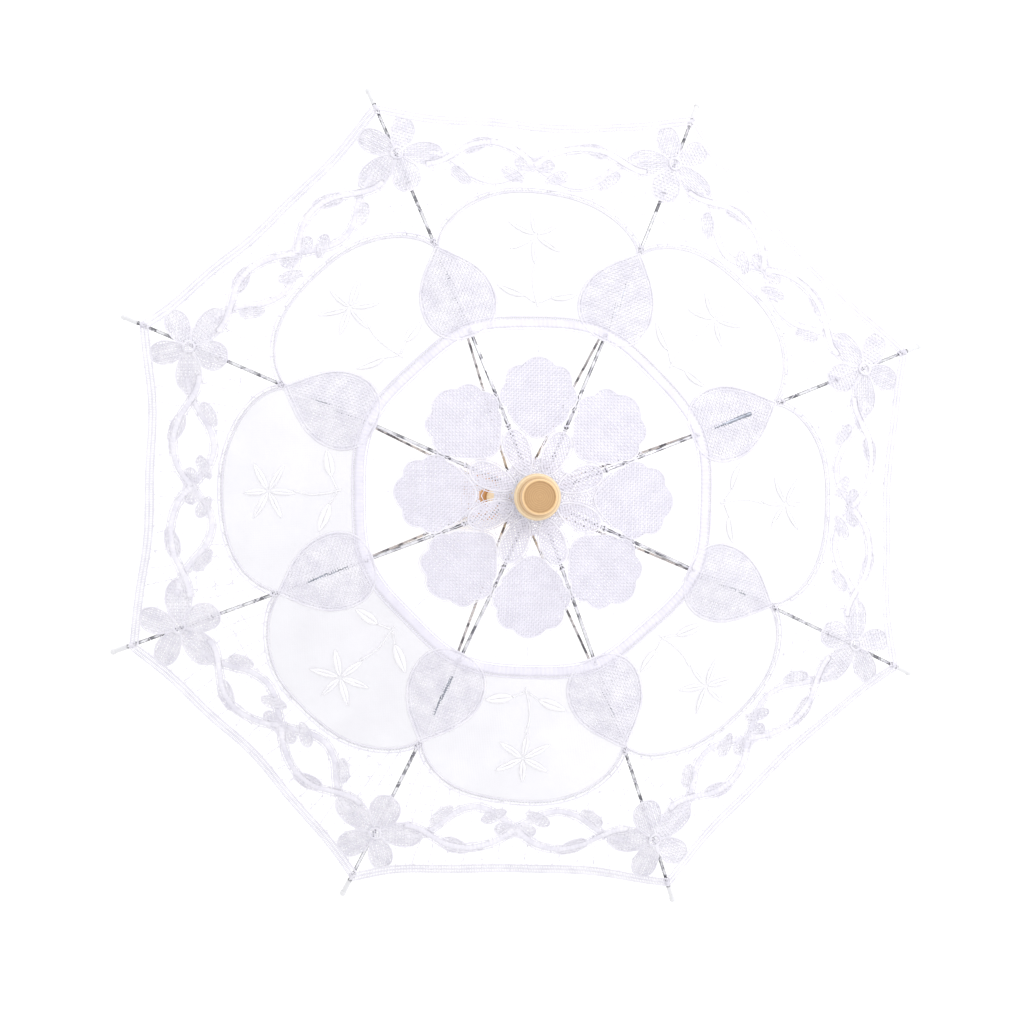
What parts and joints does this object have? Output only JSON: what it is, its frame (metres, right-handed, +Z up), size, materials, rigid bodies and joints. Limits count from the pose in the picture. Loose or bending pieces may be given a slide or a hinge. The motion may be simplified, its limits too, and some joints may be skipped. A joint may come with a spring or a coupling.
{
  "type": "lace parasol",
  "caption": "Small open lace parasol with turned wooden finial and handle, sliding runner, hinged ribs and stretchers and a scalloped lace canopy.",
  "frame": {"origin": "centre of the handle's bottom end face, on the shaft's axis", "axes": "+Z up the shaft from the handle to the finial; X and Y point along the middles of canopy gores, with the first rib 22.5 degrees from +X"},
  "size_m": [0.3704, 0.3704, 0.32],
  "materials": {
    "pale_wood": "sanded, clear satin lacquer",
    "honey_wood": "turned, satin lacquer",
    "finial_wood": "turned, fine lathe rings, satin lacquer",
    "white_plastic": "moulded, satin",
    "white_enamel": "white enamel, slightly worn",
    "steel": "bright nickel plate",
    "clip_steel": "folded sheet, nickel plate",
    "lace": "white cotton tape lace and fine lawn, openwork"
  },
  "bodies": {
    "shaft": {"shaft": "pale_wood", "handle": "honey_wood", "handle_pin": "steel", "finial": "finial_wood", "top_notch": "white_plastic", "notch_pin": "steel", "notch_wire": "steel", "stop_pin": "steel"},
    "runner": {"runner": "white_plastic", "runner_wire": "steel"},
    "rib_1": {"rib_1": "steel", "rib_clip_1": "clip_steel", "rivet_1": "steel", "tip_1": "white_enamel", "canopy_1": "lace"},
    "stretcher_1": {"stretcher_1": "steel"},
    "rib_2": {"rib_2": "steel", "rib_clip_2": "clip_steel", "rivet_2": "steel", "tip_2": "white_enamel", "canopy_2": "lace"},
    "stretcher_2": {"stretcher_2": "steel"},
    "rib_3": {"rib_3": "steel", "rib_clip_3": "clip_steel", "rivet_3": "steel", "tip_3": "white_enamel", "canopy_3": "lace"},
    "stretcher_3": {"stretcher_3": "steel"},
    "rib_4": {"rib_4": "steel", "rib_clip_4": "clip_steel", "rivet_4": "steel", "tip_4": "white_enamel", "canopy_4": "lace"},
    "stretcher_4": {"stretcher_4": "steel"},
    "rib_5": {"rib_5": "steel", "rib_clip_5": "clip_steel", "rivet_5": "steel", "tip_5": "white_enamel", "canopy_5": "lace"},
    "stretcher_5": {"stretcher_5": "steel"},
    "rib_6": {"rib_6": "steel", "rib_clip_6": "clip_steel", "rivet_6": "steel", "tip_6": "white_enamel", "canopy_6": "lace"},
    "stretcher_6": {"stretcher_6": "steel"},
    "rib_7": {"rib_7": "steel", "rib_clip_7": "clip_steel", "rivet_7": "steel", "tip_7": "white_enamel", "canopy_7": "lace"},
    "stretcher_7": {"stretcher_7": "steel"},
    "rib_8": {"rib_8": "steel", "rib_clip_8": "clip_steel", "rivet_8": "steel", "tip_8": "white_enamel", "canopy_8": "lace"},
    "stretcher_8": {"stretcher_8": "steel"},
    "top_catch": {"top_spring": "steel"},
    "bottom_catch": {"bottom_spring": "steel"}
  },
  "joints": [
    {"name": "runner_slide", "type": "slide", "parent": "shaft", "child": "runner", "axis": [0, 0, -1], "range_m": [0, 0.10533], "deforming": ["canopy_1", "canopy_2", "canopy_3", "canopy_4", "canopy_5", "canopy_6", "canopy_7", "canopy_8", "top_spring", "bottom_spring"]},
    {"name": "rib_1_fold", "type": "hinge", "parent": "shaft", "child": "rib_1", "pos_m": [0.00739, 0.00306, 0.302], "axis": [-0.3827, 0.9239, 0], "range_deg": [0, 66.92]},
    {"name": "stretcher_1_swing", "type": "hinge", "parent": "rib_1", "child": "stretcher_1", "pos_m": [0.08728, 0.03615, 0.27881], "axis": [-0.3827, 0.9239, 0], "range_deg": [-110.77, 0]},
    {"name": "rib_2_fold", "type": "hinge", "parent": "shaft", "child": "rib_2", "pos_m": [0.00306, 0.00739, 0.302], "axis": [-0.9239, 0.3827, 0], "range_deg": [0, 66.92]},
    {"name": "stretcher_2_swing", "type": "hinge", "parent": "rib_2", "child": "stretcher_2", "pos_m": [0.03615, 0.08728, 0.27881], "axis": [-0.9239, 0.3827, 0], "range_deg": [-110.77, 0]},
    {"name": "rib_3_fold", "type": "hinge", "parent": "shaft", "child": "rib_3", "pos_m": [-0.00306, 0.00739, 0.302], "axis": [-0.9239, -0.3827, 0], "range_deg": [0, 66.92]},
    {"name": "stretcher_3_swing", "type": "hinge", "parent": "rib_3", "child": "stretcher_3", "pos_m": [-0.03615, 0.08728, 0.27881], "axis": [-0.9239, -0.3827, 0], "range_deg": [-110.77, 0]},
    {"name": "rib_4_fold", "type": "hinge", "parent": "shaft", "child": "rib_4", "pos_m": [-0.00739, 0.00306, 0.302], "axis": [-0.3827, -0.9239, 0], "range_deg": [0, 66.92]},
    {"name": "stretcher_4_swing", "type": "hinge", "parent": "rib_4", "child": "stretcher_4", "pos_m": [-0.08728, 0.03615, 0.27881], "axis": [-0.3827, -0.9239, 0], "range_deg": [-110.77, 0]},
    {"name": "rib_5_fold", "type": "hinge", "parent": "shaft", "child": "rib_5", "pos_m": [-0.00739, -0.00306, 0.302], "axis": [0.3827, -0.9239, 0], "range_deg": [0, 66.92]},
    {"name": "stretcher_5_swing", "type": "hinge", "parent": "rib_5", "child": "stretcher_5", "pos_m": [-0.08728, -0.03615, 0.27881], "axis": [0.3827, -0.9239, 0], "range_deg": [-110.77, 0]},
    {"name": "rib_6_fold", "type": "hinge", "parent": "shaft", "child": "rib_6", "pos_m": [-0.00306, -0.00739, 0.302], "axis": [0.9239, -0.3827, 0], "range_deg": [0, 66.92]},
    {"name": "stretcher_6_swing", "type": "hinge", "parent": "rib_6", "child": "stretcher_6", "pos_m": [-0.03615, -0.08728, 0.27881], "axis": [0.9239, -0.3827, 0], "range_deg": [-110.77, 0]},
    {"name": "rib_7_fold", "type": "hinge", "parent": "shaft", "child": "rib_7", "pos_m": [0.00306, -0.00739, 0.302], "axis": [0.9239, 0.3827, 0], "range_deg": [0, 66.92]},
    {"name": "stretcher_7_swing", "type": "hinge", "parent": "rib_7", "child": "stretcher_7", "pos_m": [0.03615, -0.08728, 0.27881], "axis": [0.9239, 0.3827, 0], "range_deg": [-110.77, 0]},
    {"name": "rib_8_fold", "type": "hinge", "parent": "shaft", "child": "rib_8", "pos_m": [0.00739, -0.00306, 0.302], "axis": [0.3827, 0.9239, 0], "range_deg": [0, 66.92]},
    {"name": "stretcher_8_swing", "type": "hinge", "parent": "rib_8", "child": "stretcher_8", "pos_m": [0.08728, -0.03615, 0.27881], "axis": [0.3827, 0.9239, 0], "range_deg": [-110.77, 0]},
    {"name": "top_catch_press", "type": "hinge", "parent": "shaft", "child": "top_catch", "pos_m": [0.002, 0, 0.1673], "axis": [0, -1, 0], "range_deg": [0, 9], "stiffness_Nm_per_rad": 0.2},
    {"name": "bottom_catch_press", "type": "hinge", "parent": "shaft", "child": "bottom_catch", "pos_m": [0.002, 0, 0.11887], "axis": [0, 1, 0], "range_deg": [0, 9], "stiffness_Nm_per_rad": 0.2}
  ],
  "couplings": [
    {"joint": "rib_1_fold", "follows": "runner_slide", "rad_per_m": 11.086},
    {"joint": "stretcher_1_swing", "follows": "runner_slide", "rad_per_m": -18.354},
    {"joint": "rib_2_fold", "follows": "runner_slide", "rad_per_m": 11.086},
    {"joint": "stretcher_2_swing", "follows": "runner_slide", "rad_per_m": -18.354},
    {"joint": "rib_3_fold", "follows": "runner_slide", "rad_per_m": 11.086},
    {"joint": "stretcher_3_swing", "follows": "runner_slide", "rad_per_m": -18.354},
    {"joint": "rib_4_fold", "follows": "runner_slide", "rad_per_m": 11.086},
    {"joint": "stretcher_4_swing", "follows": "runner_slide", "rad_per_m": -18.354},
    {"joint": "rib_5_fold", "follows": "runner_slide", "rad_per_m": 11.086},
    {"joint": "stretcher_5_swing", "follows": "runner_slide", "rad_per_m": -18.354},
    {"joint": "rib_6_fold", "follows": "runner_slide", "rad_per_m": 11.086},
    {"joint": "stretcher_6_swing", "follows": "runner_slide", "rad_per_m": -18.354},
    {"joint": "rib_7_fold", "follows": "runner_slide", "rad_per_m": 11.086},
    {"joint": "stretcher_7_swing", "follows": "runner_slide", "rad_per_m": -18.354},
    {"joint": "rib_8_fold", "follows": "runner_slide", "rad_per_m": 11.086},
    {"joint": "stretcher_8_swing", "follows": "runner_slide", "rad_per_m": -18.354}
  ]
}
